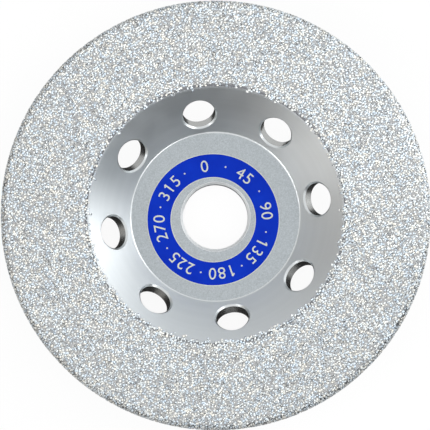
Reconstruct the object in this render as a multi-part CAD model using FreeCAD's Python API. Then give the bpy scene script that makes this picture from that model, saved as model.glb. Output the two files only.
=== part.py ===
import FreeCAD, Part
import math
import os

# Depressed-centre diamond grinding wheel. Lengths are millimetres, angles are degrees.
# The wheel lies on its hub with the grinding face up. +Z is the spindle axis, and the
# origin is the bore's centre in the plane of the hub's back face.

# Whole wheel
wheel_diameter = 105.0      # over the diamonds on the edge
bore_diameter = 16.0        # pilot hole for the spindle's flange

# Steel body: hub floor, cone and rim plate
hub_thickness = 4.0         # clamped between the spindle's flange and its nut
hub_floor_diameter = 41.6   # flat floor of the dish, to the foot of the cone
dish_depth = 9.2            # from the rim plate's face down to the hub floor
cone_slope = 41.8           # the cone's rise, from the plane of the wheel
wall_thickness = 2.6        # cone wall, square to its surface
plate_thickness = 2.4       # rim plate

# Edges of the steel body
bore_front_chamfer = 0.6
bore_back_chamfer = 0.3
floor_fillet = 0.6          # foot of the cone, inside the dish
mouth_round = 0.3           # top of the cone, where the rim plate's face begins
hub_back_round = 0.8        # outer edge of the hub's back face
back_fillet = 1.5           # under the rim plate, where it meets the cone's back
plate_front_round = 1.0     # outer edge, on the grinding side
plate_back_round = 0.3      # outer edge, on the back

# Vents drilled square to the cone
vent_count = 8
vent_diameter = 8.0
vent_below_middle = 1.05    # vent centres, down the slope from the cone's middle
vent_edge_break = 0.4

# Abrasive coat: one layer of diamonds, held to half its height in nickel
bond_thickness = 0.25
grit_thickness = 0.35       # how far the diamonds stand out of the nickel
coat_setback = 0.15         # the coat's inner edge, from the top of the cone
coat_step = 0.15            # bare nickel beyond the last row of diamonds

# Label ring on the hub floor: a cream film with a blue print on it
print_to_cone = 4.65        # from the print's outer edge to the foot of the cone
print_to_bore = 2.5         # from the print's inner edge to the bore
film_margin = 0.2           # cream film left bare along both edges of the print
film_thickness = 0.08
print_thickness = 0.04
label_shift_x = -0.68       # the label sits a little off the wheel's centre
label_shift_y = -0.64

# Values that follow
bore_radius = bore_diameter / 2
plate_radius = wheel_diameter / 2 - bond_thickness - grit_thickness
floor_radius = hub_floor_diameter / 2
face_height = hub_thickness + dish_depth
plate_bottom = face_height - plate_thickness
slope = math.radians(cone_slope)
mouth_radius = floor_radius + dish_depth / math.tan(slope)
coat_inner_radius = mouth_radius + coat_setback
same_place = 1e-6           # two arcs whose ends are this near meet with no straight side
origin = FreeCAD.Vector(0, 0, 0)
spindle_axis = FreeCAD.Vector(0, 0, 1)


def rounded_corner(before, corner, after, radius):
    # Start, middle and end of the arc that rounds the corner between two straight sides.
    to_before = (before - corner).normalize()
    to_after = (after - corner).normalize()
    half_angle = to_before.getAngle(to_after) / 2
    bisector = (to_before + to_after).normalize()
    start = corner + to_before * (radius / math.tan(half_angle))
    end = corner + to_after * (radius / math.tan(half_angle))
    middle = corner + bisector * (radius / math.sin(half_angle) - radius)
    return start, middle, end


def turned(corners):
    # Solid of revolution about the spindle axis. Each corner is (radius, height, rounding).
    points = [FreeCAD.Vector(radius, 0, height) for radius, height, rounding in corners]
    arcs = []
    for i, corner in enumerate(points):
        after = points[(i + 1) % len(points)]
        rounding = corners[i][2]
        if rounding > 0:
            arcs.append(rounded_corner(points[i - 1], corner, after, rounding))
        else:
            arcs.append((corner, corner, corner))
    edges = []
    for i, (start, middle, end) in enumerate(arcs):
        side_start = arcs[i - 1][2]
        if not side_start.isEqual(start, same_place):
            edges.append(Part.LineSegment(side_start, start).toShape())
        if corners[i][2] > 0:
            edges.append(Part.Arc(start, middle, end).toShape())
    outline = Part.Face(Part.Wire(Part.__sortEdges__(edges)))
    return outline.revolve(origin, spindle_axis, 360)


def cone_back_radius(height):
    # Radius of the cone's back surface, which lies one wall thickness behind its front.
    return floor_radius + wall_thickness / math.sin(slope) + (height - hub_thickness) / math.tan(slope)


def steel_body():
    # Hub, cone and rim plate in one turned piece, before the vents are drilled.
    return turned([
        (bore_radius, bore_back_chamfer, 0),
        (bore_radius + bore_back_chamfer, 0, 0),
        (cone_back_radius(0), 0, hub_back_round),
        (cone_back_radius(plate_bottom), plate_bottom, back_fillet),
        (plate_radius, plate_bottom, plate_back_round),
        (plate_radius, face_height, plate_front_round),
        (mouth_radius, face_height, mouth_round),
        (floor_radius, hub_thickness, floor_fillet),
        (bore_radius + bore_front_chamfer, hub_thickness, 0),
        (bore_radius, hub_thickness - bore_front_chamfer, 0),
    ])


def vent_axes():
    # Where each vent's axis meets the cone's front, with the surface's normal there.
    cone_length = dish_depth / math.sin(slope)
    up_slope = cone_length / 2 - vent_below_middle
    radius = floor_radius + up_slope * math.cos(slope)
    height = hub_thickness + up_slope * math.sin(slope)
    axes = []
    for i in range(vent_count):
        turn = FreeCAD.Rotation(spindle_axis, 360 / vent_count * i)
        centre = turn.multVec(FreeCAD.Vector(radius, 0, height))
        normal = turn.multVec(FreeCAD.Vector(-math.sin(slope), 0, math.cos(slope)))
        axes.append((centre, normal))
    return axes


def is_front_rim(edge, centre, normal):
    # True for an edge where the vent's wall meets the cone's front surface.
    offset = edge.valueAt((edge.FirstParameter + edge.LastParameter) / 2) - centre
    along = offset.dot(normal)
    across = (offset - normal * along).Length
    on_wall = abs(across - vent_diameter / 2) < vent_edge_break / 10
    return on_wall and abs(along) < wall_thickness / 2


def drill_vents(body):
    # Round holes through the cone wall, with their front edges broken.
    reach = vent_diameter / 2       # drill length past both surfaces of the wall
    for centre, normal in vent_axes():
        start = centre + normal * reach
        length = wall_thickness + 2 * reach
        body = body.cut(Part.makeCylinder(vent_diameter / 2, length, start, normal * -1))
    rims = []
    for centre, normal in vent_axes():
        rims += [edge for edge in body.Edges if is_front_rim(edge, centre, normal)]
    return body.makeChamfer(vent_edge_break, rims)


def coat_over_edge(inside, thickness, inner_radius, bottom):
    # A layer that follows the rim plate's face and outer edge, starting this far off the steel.
    outside = inside + thickness
    return turned([
        (inner_radius, face_height + inside, 0),
        (plate_radius + inside, face_height + inside, plate_front_round + inside),
        (plate_radius + inside, bottom, 0),
        (plate_radius + outside, bottom, 0),
        (plate_radius + outside, face_height + outside, plate_front_round + outside),
        (inner_radius, face_height + outside, 0),
    ])


def nickel_bond():
    # The nickel that holds the diamonds, over the grinding face and round the edge.
    return coat_over_edge(0, bond_thickness, coat_inner_radius, plate_bottom + plate_back_round)


def flat_ring(inner_radius, outer_radius, bottom, thickness):
    return turned([
        (inner_radius, bottom, 0),
        (outer_radius, bottom, 0),
        (outer_radius, bottom + thickness, 0),
        (inner_radius, bottom + thickness, 0),
    ])


def grit_on_face():
    # Envelope of the diamonds on the flat grinding face.
    face_end = plate_radius - plate_front_round
    start = coat_inner_radius + coat_step
    return flat_ring(start, face_end, face_height + bond_thickness, grit_thickness)


def grit_on_edge():
    # Envelope of the diamonds round the outer edge, from where the flat face ends.
    face_end = plate_radius - plate_front_round
    bottom = plate_bottom + plate_back_round + coat_step
    return coat_over_edge(bond_thickness, grit_thickness, face_end, bottom)


def label_ring(margin, bottom, thickness):
    # A thin ring on the hub floor, wider than the print by the margin on both sides.
    inner_radius = bore_radius + print_to_bore - margin
    outer_radius = floor_radius - print_to_cone + margin
    ring = flat_ring(inner_radius, outer_radius, bottom, thickness)
    ring.translate(FreeCAD.Vector(label_shift_x, label_shift_y, 0))
    return ring


pieces = {
    "steel_body": drill_vents(steel_body()),
    "nickel_bond": nickel_bond(),
    "diamond_grit_face": grit_on_face(),
    "diamond_grit_edge": grit_on_edge(),
    "label_film": label_ring(film_margin, hub_thickness, film_thickness),
    "label_print": label_ring(0, hub_thickness + film_thickness, print_thickness),
}

os.makedirs("parts", exist_ok=True)
for name, shape in pieces.items():
    shape.exportStep("parts/" + name + ".step")
    print(name, "valid", shape.isValid(), "solids", len(shape.Solids), "mm3", round(shape.Volume, 1))
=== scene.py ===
import math
import random
import bpy
import numpy as np
from mathutils import Matrix, Vector, noise


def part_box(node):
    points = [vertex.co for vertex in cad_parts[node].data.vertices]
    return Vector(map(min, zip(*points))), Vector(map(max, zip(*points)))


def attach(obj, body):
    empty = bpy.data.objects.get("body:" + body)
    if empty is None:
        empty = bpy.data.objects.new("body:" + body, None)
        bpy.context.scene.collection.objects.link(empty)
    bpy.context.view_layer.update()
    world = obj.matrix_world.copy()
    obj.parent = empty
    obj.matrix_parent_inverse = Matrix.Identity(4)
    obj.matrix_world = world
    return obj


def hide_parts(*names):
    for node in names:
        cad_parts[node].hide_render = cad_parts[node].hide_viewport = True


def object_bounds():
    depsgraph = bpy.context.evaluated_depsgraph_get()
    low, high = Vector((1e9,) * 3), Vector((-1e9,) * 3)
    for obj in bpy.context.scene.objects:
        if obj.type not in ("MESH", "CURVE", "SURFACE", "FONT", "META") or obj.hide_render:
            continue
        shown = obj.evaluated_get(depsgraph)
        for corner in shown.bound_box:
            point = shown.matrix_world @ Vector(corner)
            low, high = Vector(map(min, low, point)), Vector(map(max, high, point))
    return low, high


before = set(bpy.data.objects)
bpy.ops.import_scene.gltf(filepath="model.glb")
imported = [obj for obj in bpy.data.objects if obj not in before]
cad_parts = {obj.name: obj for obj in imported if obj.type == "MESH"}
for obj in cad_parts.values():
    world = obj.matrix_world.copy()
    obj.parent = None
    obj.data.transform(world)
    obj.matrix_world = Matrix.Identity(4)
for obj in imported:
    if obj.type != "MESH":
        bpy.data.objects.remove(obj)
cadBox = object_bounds()
mm = 0.001
mergeDistance = 0.0001 * mm     # points that are nearer than this are one point
sameHeight = 0.001 * mm
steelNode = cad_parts["steel_body"]
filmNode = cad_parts["label_film"]


# smallest and largest distance of a CAD node's points from a line along Z
def nodeRadii(node, centre):
    radii = [(Vector(v.co[:2]) - centre).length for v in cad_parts[node].data.vertices]
    return min(radii), max(radii)


# the same from the Z axis, for the points at one height
def radiiAt(node, height):
    points = [v.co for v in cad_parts[node].data.vertices if abs(v.co.z - height) < sameHeight]
    radii = [math.hypot(p.x, p.y) for p in points]
    return min(radii), max(radii)


# middle of a CAD node's box, seen from above
def middleOf(node):
    low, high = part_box(node)
    return Vector(((low.x + high.x) / 2, (low.y + high.y) / 2))


# sizes that the pieces take from the frame
spindle = Vector((0, 0))
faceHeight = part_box("steel_body")[1].z          # the steel's flat face, under the coat
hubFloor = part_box("label_film")[0].z
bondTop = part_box("nickel_bond")[1].z
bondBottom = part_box("nickel_bond")[0].z
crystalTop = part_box("diamond_grit_face")[1].z
boreRadius = nodeRadii("steel_body", spindle)[0]
bondInner, bondOuter = nodeRadii("nickel_bond", spindle)
flatEnd = nodeRadii("diamond_grit_face", spindle)[1]    # the face ends here and rounds into the edge
roundCentre = bondTop - (bondOuter - flatEnd)           # height of the middle of that rounding
floorEnd = radiiAt("steel_body", hubFloor)[1]           # the hub floor ends and the cone's foot starts
flatStart = radiiAt("steel_body", faceHeight)[0]        # the cone's mouth ends and the flat face starts
footRound = 0.6 * mm                                    # radii that round the cone's foot and mouth
mouthRound = 0.3 * mm
halfSlope = math.atan2(faceHeight - hubFloor, flatStart - floorEnd) / 2
mouthCorner = flatStart - mouthRound * math.tan(halfSlope)
coneSlope = math.atan2(faceHeight - hubFloor, mouthCorner - floorEnd - footRound * math.tan(halfSlope))
print("frame loaded, hub floor at", round(hubFloor / mm, 2), "mm")


def deselectAll():
    bpy.ops.object.select_all(action="DESELECT")


def editMode():
    bpy.ops.object.mode_set(mode="EDIT")


def objectMode():
    bpy.ops.object.mode_set(mode="OBJECT")


def nameIt(piece, name):
    piece.name = name
    piece.data.name = name
    return piece


def applyModifier(piece, modifier):
    bpy.context.view_layer.objects.active = piece
    bpy.ops.object.modifier_apply(modifier=modifier.name)


# a closed turned ring: a circle is extruded and resized from station to station of its section
def turnedRing(name, section, segments):
    deselectAll()
    radius, height = section[0]
    bpy.ops.mesh.primitive_circle_add(vertices=segments, radius=radius, location=(0, 0, height))
    bpy.ops.object.transform_apply(location=True, rotation=False, scale=False)
    ring = nameIt(bpy.context.object, name)
    editMode()
    bpy.ops.mesh.select_all(action="SELECT")
    for nextRadius, nextHeight in section[1:] + section[:1]:
        bpy.ops.mesh.extrude_region_move(
            TRANSFORM_OT_translate={"value": (0, 0, nextHeight - height)})
        grow = nextRadius / radius
        bpy.ops.transform.resize(value=(grow, grow, 1), center_override=(0, 0, 0))
        radius, height = nextRadius, nextHeight
    bpy.ops.mesh.select_all(action="SELECT")
    bpy.ops.mesh.remove_doubles(threshold=mergeDistance)
    bpy.ops.mesh.normals_make_consistent(inside=False)
    objectMode()
    return ring


cameraLook = {
    "distance": 900 * mm,       # from the grinding face
    "lens": 309.7,              # millimetres, on a 36 mm sensor
    "leanDown": -3.39,          # degrees
    "leanSide": 0.88,
    "roll": 9.3,                # the vent on +X stands this far above the horizontal
    "shiftRight": 0.27 * mm,    # the wheel's centre, from the middle of the view
    "shiftUp": 0.17 * mm,
    "nearest": 10 * mm,         # what stands nearer to the camera isn't drawn
}


def placeCamera(look):
    lean = (Matrix.Rotation(math.radians(look["leanDown"]), 3, "X")
            @ Matrix.Rotation(math.radians(look["leanSide"]), 3, "Y")
            @ Matrix.Rotation(math.radians(look["roll"]), 3, "Z"))
    facing = lean.transposed()
    eye = facing @ Vector((-look["shiftRight"], -look["shiftUp"], look["distance"]))
    data = bpy.data.cameras.new("camera")
    data.lens = look["lens"]
    data.clip_start = look["nearest"]
    camera = bpy.data.objects.new("camera", data)
    camera.matrix_world = Matrix.Translation(Vector((0, 0, crystalTop)) + eye) @ facing.to_4x4()
    bpy.context.scene.collection.objects.link(camera)
    bpy.context.scene.camera = camera


placeCamera(cameraLook)

stageLook = {
    "floorSize": 6.0,           # metres
    "floorGap": 0.02 * mm,      # the floor lies this far under the wheel
    "floorColour": (0.86, 0.86, 0.86, 1),
    "floorWhite": 0.93,         # share of the floor's look that is plain white, the rest takes shadows
    "ambient": 0.34,            # the world's strength for matt surfaces
}

# each lamp stands in a direction as the camera sees it, 0 is right and 90 is up, and at an elevation
# over the wheel's plane. Distances and sizes are in metres, power is in watts, and only a lamp with
# glints is mirrored in the metal
lamps = [
    {"name": "keyLamp", "direction": 25, "elevation": 19, "distance": 0.75,
     "size": (0.40, 0.40), "power": 1.7, "glints": False},
    {"name": "rimLamp", "direction": 40, "elevation": 8, "distance": 0.75,
     "size": (0.30, 0.20), "power": 3.0, "glints": False},
    {"name": "fillLamp", "direction": 208, "elevation": 38, "distance": 0.85,
     "size": (0.40, 0.35), "power": 1.6, "glints": True},
    {"name": "sideLamp", "direction": 318, "elevation": 38, "distance": 0.85,
     "size": (0.40, 0.35), "power": 1.0, "glints": True},
    {"name": "brightLamp", "direction": 20, "elevation": 42, "distance": 0.85,
     "size": (0.40, 0.35), "power": 1.0, "glints": True},
    {"name": "nearLamp", "direction": 258, "elevation": 52, "distance": 0.9,
     "size": (1.2, 0.28), "power": 2.6, "glints": False},
    {"name": "overheadLamp", "direction": 90, "elevation": 82, "distance": 1.5,
     "size": (1.8, 1.8), "power": 8.8, "glints": False},
]

# a low paper wall round the wheel, seen only in its reflections. Each tone is a direction, a
# brightness and a warmth, which is below 0 where the paper is cool
tentLook = {
    "radius": 75 * mm,
    "height": 55 * mm,
    "segments": 96,
    "brightest": 2.8,           # the ramp's white, never below the brightest tone
    "tones": ((0, 1.35, -0.02), (16, 2.75, -0.01), (33, 1.85, -0.01), (48, 1.32, -0.02), (70, 0.96, -0.02),
              (110, 0.78, 0.0), (160, 0.50, 0.05), (185, 0.54, 0.07), (210, 0.66, 0.06),
              (235, 0.41, 0.05), (260, 0.13, 0.02), (285, 0.07, -0.10), (320, 0.07, -0.12),
              (345, 0.26, -0.10), (360, 1.35, -0.02)),
}

# dark card on the floor, seen only in reflections too: a painted shadow that stands for the wheel's shade on
# the floor under it. It darkens the ends of the vents' walls and the wall of the bore
shadowCardLook = {
    "segments": 96,
    "gap": 0.01 * mm,           # the card lies this far under the wheel
    "ringInside": 21.5 * mm,    # radii of the ring under the cone
    "ringOutside": 43 * mm,
    "ringShift": 16 * mm,       # its outer edge is moved this far, in this direction
    "ringDirection": 250,
    "underBore": 8.3 * mm,      # radius of the disc under the bore
    "tone": 0.04,
}


def viewDirection(direction, elevation):
    around = math.radians(direction - cameraLook["roll"])
    up = math.radians(elevation)
    return Vector((math.cos(around) * math.cos(up), math.sin(around) * math.cos(up), math.sin(up)))


def addLamp(lamp):
    data = bpy.data.lights.new(lamp["name"], "AREA")
    data.shape = "RECTANGLE"
    data.size, data.size_y = lamp["size"]
    data.energy = lamp["power"]
    out = viewDirection(lamp["direction"], lamp["elevation"])
    light = bpy.data.objects.new(lamp["name"], data)
    light.rotation_mode = "QUATERNION"
    light.rotation_quaternion = out.to_track_quat("Z", "Y")
    light.location = out * lamp["distance"]
    light.visible_glossy = lamp["glints"]
    bpy.context.scene.collection.objects.link(light)


def valueNode(tree, operation, first, second=None):
    node = tree.nodes.new("ShaderNodeMath")
    node.operation = operation
    for socket, value in zip(node.inputs, (first, second)):
        if value is None:
            continue
        if isinstance(value, (int, float)):
            socket.default_value = value
        else:
            tree.links.new(value, socket)
    return node.outputs[0]


# 1 for what the camera sees directly, in a mirror or through glass, and 0 for light on matt surfaces
def seenDirectly(tree):
    path = tree.nodes.new("ShaderNodeLightPath")
    seen = valueNode(tree, "MAXIMUM", path.outputs["Is Camera Ray"], path.outputs["Is Glossy Ray"])
    return valueNode(tree, "MAXIMUM", seen, path.outputs["Is Transmission Ray"])


def floorMaterial(look):
    material = bpy.data.materials.new("floorPaper")
    material.use_nodes = True
    tree = material.node_tree
    tree.nodes.clear()
    matt = tree.nodes.new("ShaderNodeBsdfDiffuse")
    matt.inputs["Color"].default_value = look["floorColour"]
    white = tree.nodes.new("ShaderNodeEmission")
    paper = tree.nodes.new("ShaderNodeMixShader")
    tree.links.new(valueNode(tree, "MULTIPLY", seenDirectly(tree), look["floorWhite"]), paper.inputs[0])
    tree.links.new(matt.outputs[0], paper.inputs[1])
    tree.links.new(white.outputs[0], paper.inputs[2])
    side = tree.nodes.new("ShaderNodeNewGeometry")      # seen from below, the floor is clear
    clear = tree.nodes.new("ShaderNodeBsdfTransparent")
    oneSided = tree.nodes.new("ShaderNodeMixShader")
    tree.links.new(side.outputs["Backfacing"], oneSided.inputs[0])
    tree.links.new(paper.outputs[0], oneSided.inputs[1])
    tree.links.new(clear.outputs[0], oneSided.inputs[2])
    output = tree.nodes.new("ShaderNodeOutputMaterial")
    tree.links.new(oneSided.outputs[0], output.inputs["Surface"])
    return material


def addFloor(look):
    deselectAll()
    bpy.ops.mesh.primitive_plane_add(size=look["floorSize"], location=(0, 0, cadBox[0].z - look["floorGap"]))
    floor = nameIt(bpy.context.object, "floor")
    floor.data.materials.append(floorMaterial(look))


# such a piece is still seen in reflections
def hideFromView(piece):
    piece.visible_camera = False
    piece.visible_diffuse = False
    piece.visible_shadow = False


def glowMaterial(name):
    material = bpy.data.materials.new(name)
    material.use_nodes = True
    tree = material.node_tree
    tree.nodes.clear()
    glow = tree.nodes.new("ShaderNodeEmission")
    output = tree.nodes.new("ShaderNodeOutputMaterial")
    tree.links.new(glow.outputs[0], output.inputs["Surface"])
    return material, tree, glow


# the direction round the wheel picks the paper's tone from a ramp
def tentPaper(look):
    material, tree, glow = glowMaterial("tentPaper")
    place = tree.nodes.new("ShaderNodeTexCoord")
    split = tree.nodes.new("ShaderNodeSeparateXYZ")
    tree.links.new(place.outputs["Object"], split.inputs[0])
    around = valueNode(tree, "ARCTAN2", split.outputs[1], split.outputs[0])
    turns = valueNode(tree, "DIVIDE", valueNode(tree, "ADD", around, math.radians(cameraLook["roll"])),
                      math.tau)
    ramp = tree.nodes.new("ShaderNodeValToRGB")
    ramp.color_ramp.interpolation = "EASE"
    points = ramp.color_ramp.elements
    points.remove(points[1])
    for i, (direction, tone, warmth) in enumerate(look["tones"]):
        point = points[0] if i == 0 else points.new(direction / 360)
        point.position = direction / 360
        share = tone / look["brightest"]
        point.color = (share * (1 + warmth), share, share * (1 - warmth), 1)
    tree.links.new(valueNode(tree, "FRACT", valueNode(tree, "ADD", turns, 1)), ramp.inputs["Fac"])
    tree.links.new(ramp.outputs["Color"], glow.inputs["Color"])
    glow.inputs["Strength"].default_value = look["brightest"]
    return material


def addTent(look):
    deselectAll()
    bpy.ops.mesh.primitive_cylinder_add(
        vertices=look["segments"], radius=look["radius"], depth=look["height"], end_fill_type="NOTHING",
        location=(0, 0, look["height"] / 2))
    wall = nameIt(bpy.context.object, "tentWall")
    wall.data.materials.append(tentPaper(look))
    hideFromView(wall)


def addCards(look):
    shift = viewDirection(look["ringDirection"], 0) * look["ringShift"]
    level = cadBox[0].z - look["gap"]
    grow = look["ringOutside"] / look["ringInside"]
    deselectAll()
    bpy.ops.mesh.primitive_circle_add(
        vertices=look["segments"], radius=look["ringInside"], location=(0, 0, level))
    ring = nameIt(bpy.context.object, "shadowRingCard")
    editMode()
    bpy.ops.mesh.select_all(action="SELECT")
    bpy.ops.mesh.extrude_region_move(TRANSFORM_OT_translate={"value": (shift.x, shift.y, 0)})
    bpy.ops.transform.resize(value=(grow, grow, 1), center_override=(shift.x, shift.y, level))
    objectMode()
    deselectAll()
    bpy.ops.mesh.primitive_circle_add(
        vertices=look["segments"], radius=look["underBore"], fill_type="NGON", location=(0, 0, level))
    disc = nameIt(bpy.context.object, "shadowBoreCard")
    material, _, glow = glowMaterial("shadowCard")
    glow.inputs["Strength"].default_value = look["tone"]
    for card in (ring, disc):
        card.data.materials.append(material)
        hideFromView(card)


def setWorld(look):
    world = bpy.data.worlds.new("studio")
    bpy.context.scene.world = world
    world.use_nodes = True
    tree = world.node_tree
    background = tree.nodes["Background"]
    background.inputs["Color"].default_value = (1, 1, 1, 1)
    strength = tree.nodes.new("ShaderNodeMapRange")
    strength.inputs["To Min"].default_value = look["ambient"]
    strength.inputs["To Max"].default_value = 1
    tree.links.new(seenDirectly(tree), strength.inputs["Value"])
    tree.links.new(strength.outputs["Result"], background.inputs["Strength"])


addFloor(stageLook)
addTent(tentLook)
addCards(shadowCardLook)
setWorld(stageLook)
for lamp in lamps:
    addLamp(lamp)
bpy.context.scene.view_settings.view_transform = "Standard"
print("stage ready")


def newGroup(name, inputs, outputs):
    group = bpy.data.node_groups.new(name, "ShaderNodeTree")
    for label, value in inputs.items():
        socket = group.interface.new_socket(label, in_out="INPUT", socket_type="NodeSocketFloat")
        socket.default_value = value
    for label in outputs:
        group.interface.new_socket(label, in_out="OUTPUT", socket_type="NodeSocketFloat")
    return group, group.nodes.new("NodeGroupInput"), group.nodes.new("NodeGroupOutput")


# fine rings left by the lathe, by how far out and how high a place is
def turnedMarksGroup():
    group, start, end = newGroup("turnedMarks", {"Pitch": 0.2 * mm, "Streak Size": 2 * mm},
                                 ["Rings", "Streaks"])
    place = group.nodes.new("ShaderNodeTexCoord")
    split = group.nodes.new("ShaderNodeSeparateXYZ")
    group.links.new(place.outputs["Object"], split.inputs[0])
    squareX = valueNode(group, "MULTIPLY", split.outputs[0], split.outputs[0])
    squareY = valueNode(group, "MULTIPLY", split.outputs[1], split.outputs[1])
    radius = valueNode(group, "SQRT", valueNode(group, "ADD", squareX, squareY))
    along = valueNode(group, "ADD", radius, split.outputs[2])
    for size, output, detail in (("Pitch", "Rings", 3), ("Streak Size", "Streaks", 2)):
        bands = group.nodes.new("ShaderNodeTexNoise")
        bands.noise_dimensions = "1D"
        bands.inputs["Scale"].default_value = 1
        bands.inputs["Detail"].default_value = detail
        group.links.new(valueNode(group, "DIVIDE", along, start.outputs[size]), bands.inputs["W"])
        group.links.new(bands.outputs[0], end.inputs[output])
    return group


# even mottling with no direction, as on blasted metal, film and ink
def fineGrainGroup():
    group, start, end = newGroup("fineGrain", {"Size": 0.2 * mm, "Patch Size": 4 * mm},
                                 ["Grain", "Patches"])
    place = group.nodes.new("ShaderNodeTexCoord")
    for size, output in (("Size", "Grain"), ("Patch Size", "Patches")):
        scaled = group.nodes.new("ShaderNodeVectorMath")
        scaled.operation = "SCALE"
        group.links.new(place.outputs["Object"], scaled.inputs[0])
        group.links.new(valueNode(group, "DIVIDE", 1, start.outputs[size]), scaled.inputs["Scale"])
        cloud = group.nodes.new("ShaderNodeTexNoise")
        cloud.inputs["Scale"].default_value = 1
        cloud.inputs["Detail"].default_value = 3
        group.links.new(scaled.outputs[0], cloud.inputs["Vector"])
        group.links.new(cloud.outputs[0], end.inputs[output])
    return group


turnedMarks = turnedMarksGroup()
fineGrain = fineGrainGroup()


def addEffect(tree, group, values):
    node = tree.nodes.new("ShaderNodeGroup")
    node.node_tree = group
    for label, value in values.items():
        node.inputs[label].default_value = value
    return node


# spreads a value's range over another one; most of a noise pattern lies between 0.3 and 0.7
def rangeNode(tree, value, low, high, start=0.3, end=0.7):
    spread = tree.nodes.new("ShaderNodeMapRange")
    spread.inputs["From Min"].default_value = start
    spread.inputs["From Max"].default_value = end
    spread.inputs["To Min"].default_value = low
    spread.inputs["To Max"].default_value = high
    tree.links.new(value, spread.inputs["Value"])
    return spread.outputs["Result"]


def mixNode(tree, kind, factor, first, second):
    mix = tree.nodes.new("ShaderNodeMix")
    mix.data_type = kind
    tree.links.new(factor, mix.inputs["Factor"])
    sockets = [s for s in mix.inputs if s.enabled and s.name in ("A", "B")]
    for socket, value in zip(sockets, (first, second)):
        if isinstance(value, tuple):
            socket.default_value = (*value, 1)
        elif isinstance(value, (int, float)):
            socket.default_value = value
        else:
            tree.links.new(value, socket)
    return [s for s in mix.outputs if s.enabled][0]


def attributeNode(tree, name):
    node = tree.nodes.new("ShaderNodeAttribute")
    node.attribute_name = name
    return node.outputs["Fac"]


def newMaterial(name, metallic):
    material = bpy.data.materials.new(name)
    material.use_nodes = True
    shader = material.node_tree.nodes["Principled BSDF"]
    shader.inputs["Metallic"].default_value = metallic
    return material, material.node_tree, shader


def addBump(tree, shader, height, strength, depth):
    bump = tree.nodes.new("ShaderNodeBump")
    bump.inputs["Strength"].default_value = strength
    bump.inputs["Distance"].default_value = depth
    tree.links.new(height, bump.inputs["Height"])
    tree.links.new(bump.outputs["Normal"], shader.inputs["Normal"])


def paintNode(node, material):
    node.data.materials.clear()
    node.data.materials.append(material)


steelLook = {
    "polishedDark": (0.635, 0.665, 0.675),  # cone, rim and back, between the lathe's rings
    "polishedPale": (0.650, 0.680, 0.690),
    "mattDark": (0.350, 0.382, 0.400),      # hub floor
    "mattPale": (0.505, 0.543, 0.568),
    "shadedVentWall": (0.450, 0.457, 0.450),       # walls of the vents, darker: painted shade inside the holes
    "bare": (0.930, 0.950, 0.960),          # freshly cut chamfer round the bore, its near-white colour a painted highlight
    "ringPitch": 0.16 * mm,
    "streakSize": 2.2 * mm,
    "grainSize": 0.26 * mm,
    "patchSize": 6 * mm,
    "relief": 0.6,
    "reliefDepth": 0.004 * mm,
    "polishedRoughness": (0.28, 0.32),
    "mattRoughness": (0.46, 0.56),
    "shadedVentWallRoughness": 0.25,
    "bareRoughness": 0.55,
    "floorWithin": 0.01 * mm,   # what lies this near to the hub floor's height is the floor
    "chamferWidth": 0.62 * mm,
    "ventsAbove": 2.5 * mm,     # the vents' walls lie higher than this
    "ventsBeyond": floorEnd - 1.8 * mm,     # and farther out than this
    "wallSlant": 0.3,           # share of a wall's normal that may point along the vent's axis
}


# masks on the steel: the hub floor, the walls of the vents and the chamfer round the bore
def steelMasks(tree, look):
    place = tree.nodes.new("ShaderNodeTexCoord")
    split = tree.nodes.new("ShaderNodeSeparateXYZ")
    tree.links.new(place.outputs["Object"], split.inputs[0])
    x, y, z = split.outputs
    square = valueNode(tree, "ADD", valueNode(tree, "MULTIPLY", x, x), valueNode(tree, "MULTIPLY", y, y))
    radius = valueNode(tree, "SQRT", square)
    facing = tree.nodes.new("ShaderNodeSeparateXYZ")
    tree.links.new(place.outputs["Normal"], facing.inputs[0])
    acrossX = valueNode(tree, "MULTIPLY", facing.outputs[0], x)
    acrossY = valueNode(tree, "MULTIPLY", facing.outputs[1], y)
    outward = valueNode(tree, "DIVIDE", valueNode(tree, "ADD", acrossX, acrossY), radius)
    fromFloor = valueNode(tree, "ABSOLUTE", valueNode(tree, "SUBTRACT", z, hubFloor))
    onFloor = valueNode(tree, "LESS_THAN", fromFloor, look["floorWithin"])
    alongAxis = valueNode(tree, "SUBTRACT",
                          valueNode(tree, "MULTIPLY", facing.outputs[2], math.cos(coneSlope)),
                          valueNode(tree, "MULTIPLY", outward, math.sin(coneSlope)))
    onWall = valueNode(tree, "LESS_THAN", valueNode(tree, "ABSOLUTE", alongAxis), look["wallSlant"])
    high = valueNode(tree, "GREATER_THAN", z, look["ventsAbove"])
    onCone = valueNode(tree, "GREATER_THAN", radius, look["ventsBeyond"])
    onVent = valueNode(tree, "MULTIPLY", onWall, valueNode(tree, "MULTIPLY", high, onCone))
    atBore = valueNode(tree, "LESS_THAN", radius, boreRadius + look["chamferWidth"])
    nearFloor = valueNode(tree, "GREATER_THAN", z, hubFloor - look["chamferWidth"])
    return onFloor, onVent, valueNode(tree, "MULTIPLY", atBore, nearFloor)


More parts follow.
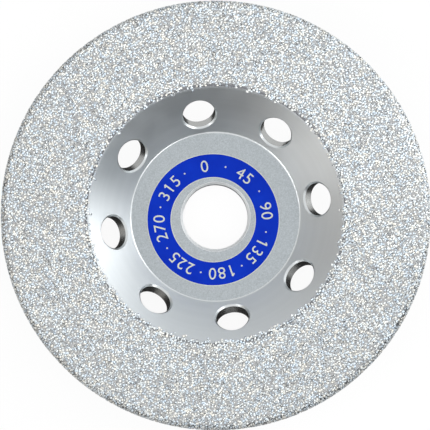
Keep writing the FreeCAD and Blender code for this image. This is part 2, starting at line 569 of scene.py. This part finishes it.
def paintSteel(look):
    material, tree, shader = newMaterial("turnedSteel", 1)
    marks = addEffect(tree, turnedMarks, {"Pitch": look["ringPitch"], "Streak Size": look["streakSize"]})
    grain = addEffect(tree, fineGrain, {"Size": look["grainSize"], "Patch Size": look["patchSize"]})
    onFloor, onVent, onChamfer = steelMasks(tree, look)
    streaks = rangeNode(tree, marks.outputs["Streaks"], 0, 1)
    polished = mixNode(tree, "RGBA", streaks, look["polishedDark"], look["polishedPale"])
    speckle = rangeNode(tree, grain.outputs["Grain"], 0, 1)
    matt = mixNode(tree, "RGBA", speckle, look["mattDark"], look["mattPale"])
    colour = mixNode(tree, "RGBA", onFloor, polished, matt)
    smooth = rangeNode(tree, grain.outputs["Patches"], *look["polishedRoughness"])
    rough = rangeNode(tree, grain.outputs["Grain"], *look["mattRoughness"])
    roughness = mixNode(tree, "FLOAT", onFloor, smooth, rough)
    # painted shade on the vents' walls and a painted highlight on the bore's chamfer
    for mask, name in ((onVent, "shadedVentWall"), (onChamfer, "bare")):
        colour = mixNode(tree, "RGBA", mask, colour, look[name])
        roughness = mixNode(tree, "FLOAT", mask, roughness, look[name + "Roughness"])
    tree.links.new(colour, shader.inputs["Base Color"])
    tree.links.new(roughness, shader.inputs["Roughness"])
    height = mixNode(tree, "FLOAT", onFloor, marks.outputs["Rings"], grain.outputs["Grain"])
    addBump(tree, shader, height, look["relief"], look["reliefDepth"])
    paintNode(steelNode, material)


paintSteel(steelLook)
print("steel painted")


filmLook = {
    "paper": (0.505, 0.530, 0.450),
    "paperPale": (0.575, 0.600, 0.520),
    "roughness": 0.5,
    "grainSize": 0.15 * mm,
    "patchSize": 3 * mm,
    "relief": 0.3,
    "reliefDepth": 0.003 * mm,
}


def paintFilm(look):
    material, tree, shader = newMaterial("creamFilm", 0)
    grain = addEffect(tree, fineGrain, {"Size": look["grainSize"], "Patch Size": look["patchSize"]})
    speckle = rangeNode(tree, grain.outputs["Grain"], 0, 1)
    tree.links.new(mixNode(tree, "RGBA", speckle, look["paper"], look["paperPale"]),
                   shader.inputs["Base Color"])
    shader.inputs["Roughness"].default_value = look["roughness"]
    addBump(tree, shader, grain.outputs["Grain"], look["relief"], look["reliefDepth"])
    paintNode(filmNode, material)


paintFilm(filmLook)
print("film painted")


printLook = {
    "segments": 256,
    "degreeStep": 45,           # between the numbers on the ring
    "digitHeight": 2.8 * mm,
    "digitPitch": 10.0,         # degrees from one digit to the next
    "fontHeight": 0.69,         # height of a digit in a font of size 1
    "cutDepth": 0.2 * mm,       # the numbers are cut this far up and down from the print's top
    "flag": (0.27, 0.13),       # the short stroke of a 1: its length and width, in digit heights
    "flagPlace": (0.36, 0.45),  # its middle, left of the stem and below the top, in stroke lengths
    "flagTurn": 40,             # degrees
    "dotRadius": 0.22 * mm,
    "dotSides": 16,
    "blue": (0.0022, 0.0225, 0.375),
    "bluePale": (0.0030, 0.0305, 0.435),
    "gloss": 0.05,
    "roughness": (0.34, 0.44),
    "grainSize": 0.18 * mm,
    "patchSize": 5 * mm,
    "relief": 0.3,
    "reliefDepth": 0.002 * mm,
}


# a digit that reads from the middle of the wheel, with its middle at this azimuth and radius
def digitCutter(digit, azimuth, radius, look):
    deselectAll()
    bpy.ops.object.text_add(location=(0, 0, 0))
    text = bpy.context.object
    text.data.body = digit
    text.data.align_x = "CENTER"
    text.data.size = look["digitHeight"] / look["fontHeight"]
    text.data.extrude = look["cutDepth"]
    bpy.ops.object.convert(target="MESH")
    turn = Matrix.Rotation(math.radians(azimuth - 90), 4, "Z")
    foot = turn @ Matrix.Translation((0, radius - look["digitHeight"] / 2, 0))
    bpy.context.object.matrix_world = foot
    cutters = [bpy.context.object]
    if digit == "1":        # the font's 1 is a plain bar, so it gets its short upper stroke
        length, width = (share * look["digitHeight"] for share in look["flag"])
        left, down = (share * length for share in look["flagPlace"])
        bpy.ops.mesh.primitive_cube_add(size=1)
        bpy.context.object.matrix_world = (
            foot @ Matrix.Translation((-left, look["digitHeight"] - down, 0))
            @ Matrix.Rotation(math.radians(look["flagTurn"]), 4, "Z")
            @ Matrix.Diagonal((length, width, 2 * look["cutDepth"], 1)))
        cutters.append(bpy.context.object)
    return cutters


def dotCutter(azimuth, radius, look):
    deselectAll()
    bpy.ops.mesh.primitive_cylinder_add(
        vertices=look["dotSides"], radius=look["dotRadius"], depth=2 * look["cutDepth"])
    cutter = bpy.context.object
    turn = Matrix.Rotation(math.radians(azimuth), 4, "Z")
    cutter.matrix_world = turn @ Matrix.Translation((radius, 0, 0))
    return cutter


# numbers clockwise round the ring, with a dot between each two, joined into one cutter
def numberCutter(radius, height, look):
    cutters = []
    for degrees in range(0, 360, look["degreeStep"]):
        digits = str(degrees)
        for i, digit in enumerate(digits):
            offset = (i - (len(digits) - 1) / 2) * look["digitPitch"]
            cutters += digitCutter(digit, 90 - degrees - offset, radius, look)
        cutters.append(dotCutter(90 - degrees - look["degreeStep"] / 2, radius, look))
    deselectAll()
    for cutter in cutters:
        cutter.select_set(True)
    bpy.context.view_layer.objects.active = cutters[0]
    bpy.ops.object.join()
    numbers = bpy.context.object
    bpy.ops.object.transform_apply(location=True, rotation=True, scale=True)
    editMode()
    bpy.ops.mesh.select_all(action="SELECT")
    bpy.ops.mesh.remove_doubles(threshold=mergeDistance)
    bpy.ops.mesh.normals_make_consistent(inside=False)
    bpy.ops.transform.translate(value=(0, 0, height))
    objectMode()
    return numbers


def inkMaterial(look):
    material, tree, shader = newMaterial("blueInk", 0)
    grain = addEffect(tree, fineGrain, {"Size": look["grainSize"], "Patch Size": look["patchSize"]})
    patches = rangeNode(tree, grain.outputs["Patches"], 0, 1)
    tree.links.new(mixNode(tree, "RGBA", patches, look["blue"], look["bluePale"]),
                   shader.inputs["Base Color"])
    tree.links.new(rangeNode(tree, grain.outputs["Grain"], *look["roughness"]), shader.inputs["Roughness"])
    shader.inputs["Specular IOR Level"].default_value = look["gloss"]
    addBump(tree, shader, grain.outputs["Grain"], look["relief"], look["reliefDepth"])
    return material


# the blue ring, cut right through by the numbers, so that the film shows in them
def labelPrint(look):
    low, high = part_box("label_print")
    middle = middleOf("label_print")
    inner, outer = nodeRadii("label_print", middle)
    section = [(inner, low.z), (outer, low.z), (outer, high.z), (inner, high.z)]
    ring = turnedRing("labelPrint", section, look["segments"])
    numbers = numberCutter((inner + outer) / 2, high.z, look)
    cut = ring.modifiers.new("numbers", "BOOLEAN")
    cut.operation = "DIFFERENCE"
    cut.solver = "EXACT"
    cut.use_self = True         # the 1's two strokes overlap
    cut.object = numbers
    applyModifier(ring, cut)
    bpy.data.objects.remove(numbers)
    ring.location = (middle.x, middle.y, 0)
    deselectAll()
    ring.select_set(True)
    bpy.context.view_layer.objects.active = ring
    bpy.ops.object.transform_apply(location=True, rotation=False, scale=False)
    ring.data.materials.append(inkMaterial(look))
    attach(ring, "root")
    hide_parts("label_print")


labelPrint(printLook)
print("label printed")


coatLook = {
    "segments": 720,
    "stationStep": 0.7 * mm,
    "film": 0.04 * mm,          # the nickel's thin inner edge lies this far off the cone
    "filmFoot": 0.15 * mm,      # and starts this far inside the cone's upper corner
    "filmHeel": 0.1 * mm,       # its hidden underside starts this far out from there
    "band": 0.9 * mm,           # the diamonds stand apart over this width, with nickel between that is painted dark as shade in the crevices
    "bandSteps": 8,
    "bandLumps": 0.25 * mm,     # how deep the band is pitted
    "bandLumpSize": 0.55 * mm,
    "roundTurns": (22.5, 45, 67.5, 90),     # stations round the outer corner, in degrees
    "edgeWidth": 0.4 * mm,      # the coat's hidden side lies this far inside its outer edge
    "lumpsFrom": 0.05 * mm,     # the nickel is lumpy from here, out from where its flat top starts
    "lumpHeight": 0.10 * mm,
    "lumpLevel": 0.6,           # the lumps' grey that moves nothing
    "lumpSize": 0.5 * mm,
    "grainEdge": 0.02 * mm,     # mean place of the innermost diamonds, out from the CAD layer's edge
    "grainRagged": 1.2 * mm,
    "waves": ((0.4, 9), (0.7, 28), (0.8, 64)),      # share and frequency of the edge's wandering
    "edgeShift": 0.22 * mm,     # the diamonds were masked a little off the wheel's centre
    "shiftAzimuth": 81,
    "sink": 0.06 * mm,          # the coat's hidden side lies this deep in the steel
    "nickelDark": (0.40, 0.405, 0.41),
    "nickelPale": (0.56, 0.565, 0.57),
    # painted shade in the crevices between the diamonds of the inner band
    "nickelCreviceShade": (0.22, 0.225, 0.24),
    "nickelFilm": (0.63, 0.66, 0.67),
    "creviceShadeEnd": 0.5,            # the painted crevice shade is full from this share of the band inwards
    "roughness": (0.28, 0.42),
    "grainSize": 0.12 * mm,
    "patchSize": 0.8 * mm,
    "relief": 0.8,
    "reliefDepth": 0.03 * mm,
}
coatFoot = mouthCorner - coatLook["filmFoot"]
coatTop = mouthCorner + (bondTop - faceHeight) / math.tan(coneSlope)    # the nickel's flat top starts here
coatUnder = faceHeight - coatLook["sink"]
filmLean = coatLook["film"] / math.sin(coneSlope)


# how far an edge wanders at an azimuth, from about -0.5 to 0.5
def wandering(azimuth, look):
    around = Vector((math.cos(azimuth), math.sin(azimuth), 0))
    return sum(share * noise.noise(around * often) for share, often in look["waves"])


# radius where the diamonds start at an azimuth
def grainStart(azimuth, look):
    shift = look["edgeShift"] * math.cos(azimuth - math.radians(look["shiftAzimuth"]))
    return bondInner + look["grainEdge"] + shift + look["grainRagged"] * wandering(azimuth, look)


# height of the coat's nickel: it climbs the cone's mouth, then lies flat
def nickelHeight(radius):
    return min(bondTop, faceHeight + (radius - mouthCorner) * math.tan(coneSlope))


# section of the nickel: up the cone as a thin film, over the flat face in steps, round the outer
# corner, down the edge and back along the hidden side
def coatSection(look):
    rounding = bondOuter - flatEnd
    halfway = (coatFoot + coatTop) / 2
    section = [(coatFoot + look["filmHeel"], nickelHeight(coatFoot) - look["sink"])]
    section += [(radius - filmLean, nickelHeight(radius)) for radius in (coatFoot, halfway)]
    section.append((coatTop - filmLean, bondTop))
    for i in range(look["bandSteps"] + 1):
        section.append((coatTop + look["band"] * i / look["bandSteps"], bondTop))
    bandEnd = coatTop + look["band"]
    steps = round((flatEnd - bandEnd) / look["stationStep"])
    for i in range(1, steps + 1):
        section.append((bandEnd + (flatEnd - bandEnd) * i / steps, bondTop))
    for degrees in look["roundTurns"]:
        turned = math.radians(degrees)
        section.append((flatEnd + rounding * math.sin(turned), roundCentre + rounding * math.cos(turned)))
    inside = bondOuter - look["edgeWidth"]
    section += [(bondOuter, (roundCentre + bondBottom) / 2), (bondOuter, bondBottom), (inside, bondBottom)]
    section += [(inside, roundCentre), (flatEnd - rounding, coatUnder)]
    return section


# the band at the inner edge is pitted and marked for the painted shade in its crevices, and the film on the
# cone is marked too
def pitBand(coat, look):
    for name in ("creviceShade", "film"):
        coat.data.attributes.new(name, "FLOAT", "POINT")
    creviceShade, film = coat.data.attributes["creviceShade"], coat.data.attributes["film"]
    for i, point in enumerate(coat.data.vertices):
        radius = math.hypot(point.co.x, point.co.y)
        share = min(1, max(0, 1 - (radius - coatTop) / look["band"]))
        film.data[i].value = 1 if radius < coatTop - 0.5 * filmLean else 0
        if share == 0 or point.co.z <= coatUnder:
            continue
        creviceShade.data[i].value = share
        if radius > coatTop + look["lumpsFrom"]:
            pit = noise.noise(point.co / look["bandLumpSize"]) * share * look["bandLumps"]
            point.co.z = min(bondTop, point.co.z - abs(pit))


# low lumps all over the nickel, but not on the thin film
def swellNickel(coat, look):
    lumps = bpy.data.textures.new("lumps", "CLOUDS")
    lumps.noise_scale = look["lumpSize"]
    lumps.noise_depth = 1
    swell = coat.modifiers.new("lumps", "DISPLACE")
    swell.texture = lumps
    swell.texture_coords = "LOCAL"
    swell.strength = look["lumpHeight"]
    swell.mid_level = look["lumpLevel"]
    swell.vertex_group = "lumpy"
    applyModifier(coat, swell)


def nickelMaterial(look):
    material, tree, shader = newMaterial("nickel", 1)
    grain = addEffect(tree, fineGrain, {"Size": look["grainSize"], "Patch Size": look["patchSize"]})
    patches = rangeNode(tree, grain.outputs["Patches"], 0, 1)
    nickel = mixNode(tree, "RGBA", patches, look["nickelDark"], look["nickelPale"])
    # painted shade in the band's crevices, darkest at the inner edge
    creviceShades = rangeNode(tree, attributeNode(tree, "creviceShade"), 0, 1, 0, look["creviceShadeEnd"])
    nickel = mixNode(tree, "RGBA", creviceShades, nickel, look["nickelCreviceShade"])
    nickel = mixNode(tree, "RGBA", attributeNode(tree, "film"), nickel, look["nickelFilm"])
    tree.links.new(nickel, shader.inputs["Base Color"])
    tree.links.new(rangeNode(tree, grain.outputs["Grain"], *look["roughness"]), shader.inputs["Roughness"])
    addBump(tree, shader, grain.outputs["Grain"], look["relief"], look["reliefDepth"])
    return material


def nickelBond(look):
    coat = turnedRing("nickelBond", coatSection(look), look["segments"])
    flatTop = coatTop + look["lumpsFrom"]
    beyond = [p.index for p in coat.data.vertices if math.hypot(p.co.x, p.co.y) > flatTop]
    coat.vertex_groups.new(name="lumpy").add(beyond, 1, "REPLACE")
    pitBand(coat, look)
    swellNickel(coat, look)
    coat.data.materials.append(nickelMaterial(look))
    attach(coat, "root")
    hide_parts("nickel_bond")


nickelBond(coatLook)
print("nickel laid")


crystalLook = {
    "across": 0.54 * mm,        # a grain's size
    "spread": 0.16,             # how much sizes differ
    "spacing": 0.455 * mm,      # no two grains are closer
    "tries": 110000,
    "reachIn": 1.2 * mm,        # how far in from the nickel's inner edge grains are tried
    "shortOfBottom": 0.2 * mm,  # and how far above its bottom edge
    "brokenAt": 0.34,           # where a crystal is broken, out from its middle
    "mergeWithin": 0.02,        # corners of a crystal that are nearer than this are one
    "raised": 0.10,             # a grain's middle above the bond, in grain sizes
    "edgeRaised": 0.30,         # the same on the outer edge
    "liftRange": (-0.5, 1.5),   # how much that rise differs from grain to grain
    "kept": 0.02 * mm,          # the grains stay this far inside the layer
    "bandBare": 0.35,           # share of the grains missing at the coat's inner edge
    "faceSectors": 8,
    "edgeSectors": 4,
    "seed": 11,
    "dark": (0.20, 0.21, 0.22),
    "cool": (0.75, 0.88, 1.0),
    "warm": (1.0, 0.97, 0.88),
    "rim": (0.12, 0.12, 0.115),     # painted shade: what the grains darken to round the outer edge, which turns away from the light
    "rimShare": 0.45,
    "rimFrom": 0.3,             # they darken from where the surface faces outwards by this share
    "toneSpread": 0.5,          # share of the facets painted darker than fully lit, a painted shade that gives the grains sparkle
    "metallic": 0.35,
    "roughness": (0.2, 0.35),
    "refraction": 2.4,
}

# the kinds of grain: how much of each corner is cut off, and how it is drawn out
crystalKinds = [
    {"corner": 0.18, "stretch": (1.0, 0.85, 0.9)},
    {"corner": 0.28, "stretch": (1.05, 0.95, 0.75)},
    {"corner": 0.38, "stretch": (0.95, 1.0, 0.9)},
    {"corner": 0.49, "stretch": (1.1, 1.0, 0.95)},
    {"corner": 0.30, "stretch": (0.8, 1.15, 0.8)},
    {"corner": 0.44, "stretch": (1.2, 0.8, 0.9)},
]


# a cube with its corners cut off, as a diamond grows, then broken along one plane
def crystalShape(kind, look, dice):
    deselectAll()
    bpy.ops.mesh.primitive_cube_add(size=1)
    crystal = bpy.context.object
    editMode()
    bpy.ops.mesh.select_all(action="SELECT")
    bpy.ops.mesh.bevel(offset=kind["corner"], affect="VERTICES", clamp_overlap=True)
    bpy.ops.mesh.select_all(action="SELECT")
    bpy.ops.transform.resize(value=kind["stretch"])
    broken = Vector((dice.gauss(0, 1), dice.gauss(0, 1), dice.gauss(0, 1))).normalized()
    bpy.ops.mesh.bisect(
        plane_co=broken * look["brokenAt"], plane_no=broken, use_fill=True, clear_outer=True)
    bpy.ops.mesh.select_all(action="SELECT")
    bpy.ops.mesh.remove_doubles(threshold=look["mergeWithin"])
    bpy.ops.mesh.quads_convert_to_tris()
    bpy.ops.mesh.normals_make_consistent(inside=False)
    objectMode()
    points = np.array([v.co[:] for v in crystal.data.vertices])
    corners = np.array([p.vertices[:] for p in crystal.data.polygons])
    normals = np.array([p.normal[:] for p in crystal.data.polygons]).round(2)
    facets = np.unique(normals, axis=0, return_inverse=True)[1].reshape(-1)
    mesh = crystal.data
    bpy.data.objects.remove(crystal)
    bpy.data.meshes.remove(mesh)
    return {"points": points, "corners": corners, "facets": facets}


# a place on the coat's section: along the face, round its outer corner, then down the edge
def coatPlace(along):
    rounding = bondOuter - flatEnd
    corner = rounding * math.pi / 2
    if along <= flatEnd:
        return along, bondTop, 0.0, 1.0
    turned = (along - flatEnd) / rounding
    if turned < math.pi / 2:
        outward, upward = math.sin(turned), math.cos(turned)
        return flatEnd + rounding * outward, roundCentre + rounding * upward, outward, upward
    return bondOuter, roundCentre - (along - flatEnd - corner), 1.0, 0.0


# places for the grains: random, but never closer than the spacing
def scatterGrains(look, dice):
    first = bondInner - look["reachIn"]
    last = (flatEnd + (bondOuter - flatEnd) * math.pi / 2 + roundCentre - bondBottom
            - look["shortOfBottom"])
    spacing = look["spacing"]
    taken = {}
    grains = []
    for _ in range(look["tries"]):
        azimuth = dice.uniform(0, 2 * math.pi)
        along = math.sqrt(dice.uniform(first ** 2, last ** 2))
        radius, height, outward, upward = coatPlace(along)
        if along < bondInner + 2 * coatLook["band"]:
            start = grainStart(azimuth, coatLook)
            bare = 1 - (along - start) / coatLook["band"]
            if along < start or dice.random() < bare * look["bandBare"]:
                continue
            height = nickelHeight(along)
        place = (radius * math.cos(azimuth), radius * math.sin(azimuth), height)
        cell = tuple(int(c // spacing) for c in place)
        near = [p for x in (-1, 0, 1) for y in (-1, 0, 1) for z in (-1, 0, 1)
                for p in taken.get((cell[0] + x, cell[1] + y, cell[2] + z), ())]
        if any((p[0] - place[0]) ** 2 + (p[1] - place[1]) ** 2 + (p[2] - place[2]) ** 2 < spacing ** 2
               for p in near):
            continue
        taken.setdefault(cell, []).append(place)
        facing = (outward * math.cos(azimuth), outward * math.sin(azimuth), upward)
        grains.append((*place, *facing, azimuth, along))
    return np.array(grains)


# random turns in every direction, as matrices
def randomTurns(count, dice):
    turns = dice.normal(size=(4, count))
    w, x, y, z = turns / np.linalg.norm(turns, axis=0)
    return np.stack([
        np.stack([1 - 2 * (y * y + z * z), 2 * (x * y - z * w), 2 * (x * z + y * w)], axis=1),
        np.stack([2 * (x * y + z * w), 1 - 2 * (x * x + z * z), 2 * (y * z - x * w)], axis=1),
        np.stack([2 * (x * z - y * w), 2 * (y * z + x * w), 1 - 2 * (x * x + y * y)], axis=1),
    ], axis=1)


# no grain stands higher than the layer, on the face or round the edge
def keepInLayer(points, look):
    radius = np.hypot(points[:, 0], points[:, 1])
    nearRadius = np.minimum(radius, flatEnd)
    nearHeight = np.minimum(points[:, 2], roundCentre)
    reach = np.hypot(radius - nearRadius, points[:, 2] - nearHeight)
    allowed = crystalTop - roundCentre - look["kept"]
    keep = np.minimum(1, allowed / np.maximum(reach, mergeDistance))
    points[:, 2] = nearHeight + (points[:, 2] - nearHeight) * keep
    points[:, :2] *= ((nearRadius + (radius - nearRadius) * keep) / radius)[:, None]
    return points


# copies of the crystal shapes, each with its own size, turn and height, in one mesh
def grainPiece(name, grains, shapes, look, node, material, dice):
    points, corners, tones, tints, rims = [], [], [], [], []
    start = 0
    kinds = dice.integers(len(shapes), size=len(grains))
    for k, shape in enumerate(shapes):
        mine = grains[kinds == k]
        count, each = len(mine), len(shape["points"])
        size = look["across"] * (1 + look["spread"] * dice.uniform(-1, 1, size=count))
        outward = np.hypot(mine[:, 3], mine[:, 4])
        raised = look["raised"] + (look["edgeRaised"] - look["raised"]) * outward
        lift = size * raised * dice.uniform(*look["liftRange"], size=count)
        middle = mine[:, :3] + mine[:, 3:6] * lift[:, None]
        turned = np.einsum("nij,pj->npi", randomTurns(count, dice), shape["points"])
        points.append((turned * size[:, None, None] + middle[:, None, :]).reshape(-1, 3))
        first = start + each * np.arange(count)
        corners.append((shape["corners"][None] + first[:, None, None]).reshape(-1, 3))
        facetTones = dice.uniform(size=(count, shape["facets"].max() + 1))
        tones.append(facetTones[:, shape["facets"]].reshape(-1))
        tints.append(np.repeat(dice.uniform(size=count), len(shape["corners"])))
        rims.append(np.repeat(outward, len(shape["corners"])))
        start += each * count
    points, corners = keepInLayer(np.concatenate(points), look), np.concatenate(corners)
    mesh = bpy.data.meshes.new(name)
    mesh.vertices.add(len(points))
    mesh.vertices.foreach_set("co", points.ravel())
    mesh.loops.add(corners.size)
    mesh.loops.foreach_set("vertex_index", corners.ravel())
    mesh.polygons.add(len(corners))
    mesh.polygons.foreach_set("loop_start", np.arange(0, corners.size, 3))
    for label, values in (("facetTone", tones), ("grainTint", tints), ("rimShade", rims)):
        attribute = mesh.attributes.new(label, "FLOAT", "FACE")
        attribute.data.foreach_set("value", np.concatenate(values))
    mesh.update()
    mesh.materials.append(material)
    piece = bpy.data.objects.new(name, mesh)
    bpy.context.scene.collection.objects.link(piece)
    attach(piece, "root")
    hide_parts(node)


def crystalMaterial(look):
    material, tree, shader = newMaterial("diamond", look["metallic"])
    tint = attributeNode(tree, "grainTint")
    lit = mixNode(tree, "RGBA", tint, look["cool"], look["warm"])
    # each facet is painted a random share darker, as painted shade on facets turned from the light
    shade = rangeNode(tree, attributeNode(tree, "facetTone"), 0, 1, 0, look["toneSpread"])
    colour = mixNode(tree, "RGBA", shade, look["dark"], lit)
    # painted shade on the grains round the outer edge
    rim = rangeNode(tree, attributeNode(tree, "rimShade"), 0, look["rimShare"], look["rimFrom"], 1)
    tree.links.new(mixNode(tree, "RGBA", rim, colour, look["rim"]), shader.inputs["Base Color"])
    tree.links.new(rangeNode(tree, tint, *look["roughness"], 0, 1), shader.inputs["Roughness"])
    shader.inputs["IOR"].default_value = look["refraction"]
    return material


def layCrystals(look, kinds):
    dice = random.Random(look["seed"])
    shapes = [crystalShape(kind, look, dice) for kind in kinds]
    grains = scatterGrains(look, dice)
    print(len(grains), "grains,", [len(s["corners"]) for s in shapes], "faces each")
    material = crystalMaterial(look)
    numberDice = np.random.default_rng(look["seed"])
    onFace = grains[:, 7] <= flatEnd
    for side, part in (("face", grains[onFace]), ("edge", grains[~onFace])):
        sectors = look[side + "Sectors"]
        sector = (part[:, 6] / math.tau * sectors).astype(int)
        for i in range(sectors):
            name = f"{side}Diamonds{i + 1:02d}"
            grainPiece(name, part[sector == i], shapes, look, "diamond_grit_" + side, material, numberDice)


layCrystals(crystalLook, crystalKinds)
print("diamonds laid")
